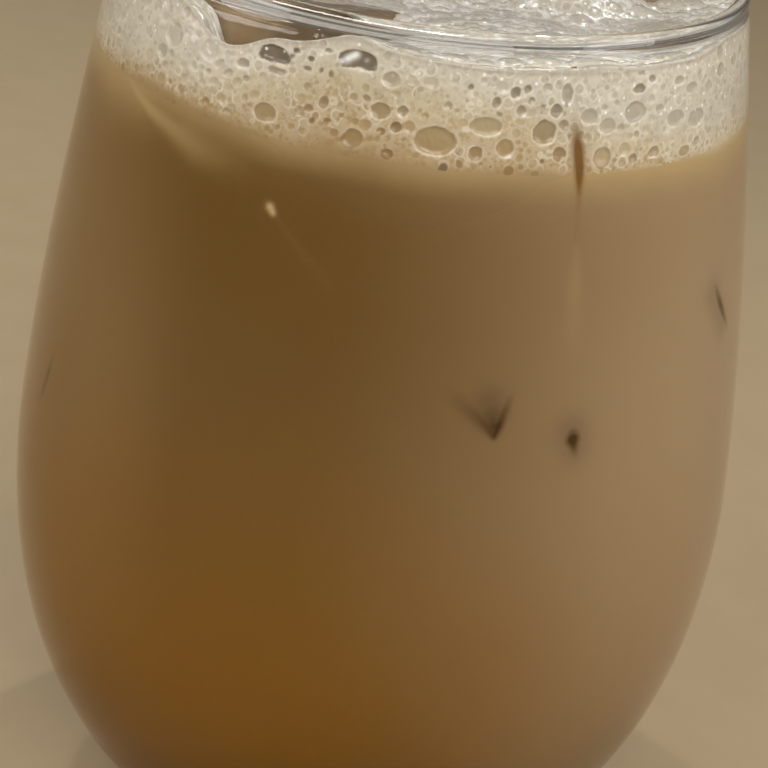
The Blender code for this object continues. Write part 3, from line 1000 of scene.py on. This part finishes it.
def colourAtGlass(material, rims, deep):
    c = frothColour
    tone = attribute(material, "tone")
    base, above = drinkShades(material)
    present = ranged(material, above, 0.5, 3.5)
    # painted shade: bubble insides and larger cells are darkened toward the hollow colours, and the two open
    # bubbles toward the window colour
    hollow = mixed(material, ranged(material, above, 2.0, 9.0), c["hollowLow"], c["hollowHigh"])
    frothy = mixed(material, times(material, deep, present), base, hollow)
    frothy = mixed(material, times(material, rims, present), frothy, c["rim"])
    shown = calc(material, "ADD", times(material, tone, 0.72), 0.06)
    inner = mixed(material, shown, base, hollow)
    inner = mixed(material, ranged(material, tone, 0.86, 1.0, 0.0, 0.9), inner, c["window"])
    gap = calc(material, "ADD", attribute(material, "gap"), swing(material, 620, 3, 0.8))
    inside = ranged(material, gap, 0.05, -0.16)
    outside = calc(material, "SUBTRACT", 1.0, inside)
    rim = times(material, ranged(material, gap, 0.32, 0.06), outside, attribute(material, "rimmed"))
    rim = times(material, rim, 0.42, present)
    colour = mixed(material, inside, mixed(material, rim, frothy, c["rim"]), inner)
    # painted highlights: sparkles high on the froth, with the pale creases between bubbles
    shine = times(material, paintedSparkles(material), ranged(material, above, 8.5, 11.0))
    shine = times(material, most(material, shine, attribute(material, "crease")), 0.9)
    colour = mixed(material, shine, colour, c["glint"])
    # painted shade: the froth's lip at the glass is darkened against the light from above
    colour = mixed(material, times(material, attribute(material, "lip"), 0.4), colour, c["hollowHigh"])
    # painted shade where ice comes near the glass
    colour = mixed(material, attribute(material, "mark"), colour, drinkColour["needle"])
    # painted highlights on bubbles and on the froth left of the open pocket
    return mixed(material, attribute(material, "glint"), colour, c["glint"])


def colourOnTop(material, rims, deep):
    c = frothColour
    tone = times(material, attribute(material, "tone"), 0.3)
    film = mixed(material, tone, c["high"], c["hollowHigh"])
    # painted shade inside larger cells
    film = mixed(material, times(material, deep, 0.6), film, c["hollowHigh"])
    frothy = mixed(material, rims, film, c["rim"])
    # painted highlights: sparkles, with the pale creases between bubbles
    shine = most(material, times(material, attribute(material, "crease"), 0.6), paintedSparkles(material))
    return mixed(material, shine, frothy, c["glint"])


def makeFrothMaterial(name, colourOf, coat, relief):
    material, shader = newMaterial(
        name,
        Roughness=0.25,
        Subsurface_Weight=0.35,
        Subsurface_Scale=0.15 * mm,
        Subsurface_Radius=(1.0, 0.75, 0.5),
        Coat_Weight=coat,
        Coat_Roughness=0.1,
    )
    rims, cells, deep = fineFroth(material)
    material.node_tree.links.new(colourOf(material, rims, deep), shader.inputs["Base Color"])
    bumped(material, shader, times(material, cells, relief), 0.25, 0.2 * mm)
    return material


dress(makeFrothWall(), makeFrothMaterial("frothAtGlass", colourAtGlass, 0.4, -1.0), "froth", "froth")
dress(makeFrothTop(), makeFrothMaterial("frothOnTop", colourOnTop, 0.5, 1.0), "froth")
print("froth made")

studio = {
    "cameraAt": (0, -259.7 * mm, 183.5 * mm),
    "pitch": 25.55,
    "yaw": 0.09,
    "roll": 7.52,
    "lens": 103.125,
    "sensor": 36,
    "lampsAimAt": (0, 0, 0.08),
    "floor": rgb(190, 166, 128),
    "floorGrain": rgb(199, 176, 139),
    "floorWide": 4,
    "world": 0.20,
    "worldLow": 0.10,
    "worldColour": (0.95, 0.97, 1, 1),
}

# name: place, width, height, power, colour
lamps = {
    "keySoftbox": ((0.10, -0.42, 0.42), 0.32, 0.32, 1.05, (1.0, 0.97, 0.93)),
    "rightSoftbox": ((0.42, -0.12, 0.30), 0.24, 0.24, 0.50, (1.0, 0.97, 0.93)),
    "leftSoftbox": ((-0.42, -0.20, 0.30), 0.24, 0.24, 0.56, (1.0, 0.97, 0.92)),
    "backSoftbox": ((-0.24, 0.36, 0.40), 0.24, 0.24, 0.35, (1.0, 0.96, 0.88)),
    "rimLight": ((-0.22, -0.50, 0.54), 0.80, 0.20, 9.0, (1.0, 0.98, 0.95)),
    "sparkLamp": ((0.10, 0.26, 0.50), 0.02, 0.02, 0.35, (1, 1, 1)),
    "sparkLampLeft": ((-0.14, 0.22, 0.46), 0.02, 0.02, 0.25, (1, 1, 1)),
}


def placeCamera():
    s = studio
    deselectAll()
    turn = turned(-s["yaw"], "Z") @ turned(90 - s["pitch"], "X") @ turned(s["roll"], "Z")
    bpy.ops.object.camera_add(location=s["cameraAt"], rotation=turn.to_euler())
    camera = bpy.context.object
    camera.data.lens = s["lens"]
    camera.data.sensor_width = s["sensor"]
    camera.data.clip_start = 0.01
    bpy.context.scene.camera = camera


def placeLamps():
    for name, (at, width, length, power, colour) in lamps.items():
        aim = (Vector(studio["lampsAimAt"]) - Vector(at)).to_track_quat("-Z", "Y").to_euler()
        bpy.ops.object.light_add(type="AREA", location=at, rotation=aim)
        lamp = bpy.context.object
        lamp.name = name
        lamp.data.shape = "ELLIPSE" if width == length else "RECTANGLE"
        lamp.data.size = width
        lamp.data.size_y = length
        lamp.data.energy = power
        lamp.data.color = colour
    rimLight = bpy.data.objects["rimLight"]  # this one only draws the highlights of the glass
    shown = bpy.data.collections.new("litByRimLight")
    shown.objects.link(bpy.data.objects["clearGlass"])
    rimLight.light_linking.receiver_collection = shown
    rimLight.visible_diffuse = rimLight.visible_transmission = False
    rimLight.data.cycles.max_bounces = 1


def lightWorld():
    world = bpy.data.worlds.new("studio")
    world.use_nodes = True
    direction = addNode(world, "TexCoord").outputs["Generated"]
    up = addNode(world, "SeparateXYZ", {0: direction}).outputs["Z"]
    background = world.node_tree.nodes["Background"]
    background.inputs[0].default_value = studio["worldColour"]
    strength = ranged(world, up, -0.1, 0.7, studio["worldLow"], studio["world"])
    world.node_tree.links.new(strength, background.inputs[1])
    bpy.context.scene.world = world


def layFloor():
    bpy.ops.mesh.primitive_plane_add(size=studio["floorWide"])
    floor = bpy.context.object
    floor.name = "floor"
    paper, shader = newMaterial("paleFloor", Roughness=0.6)
    grain = mixed(paper, noise(paper, 90, 3), studio["floor"], studio["floorGrain"])
    paper.node_tree.links.new(grain, shader.inputs["Base Color"])
    floor.data.materials.append(paper)


placeCamera()
placeLamps()
lightWorld()
layFloor()
bpy.context.scene.view_settings.view_transform = "Standard"
print("studio set")
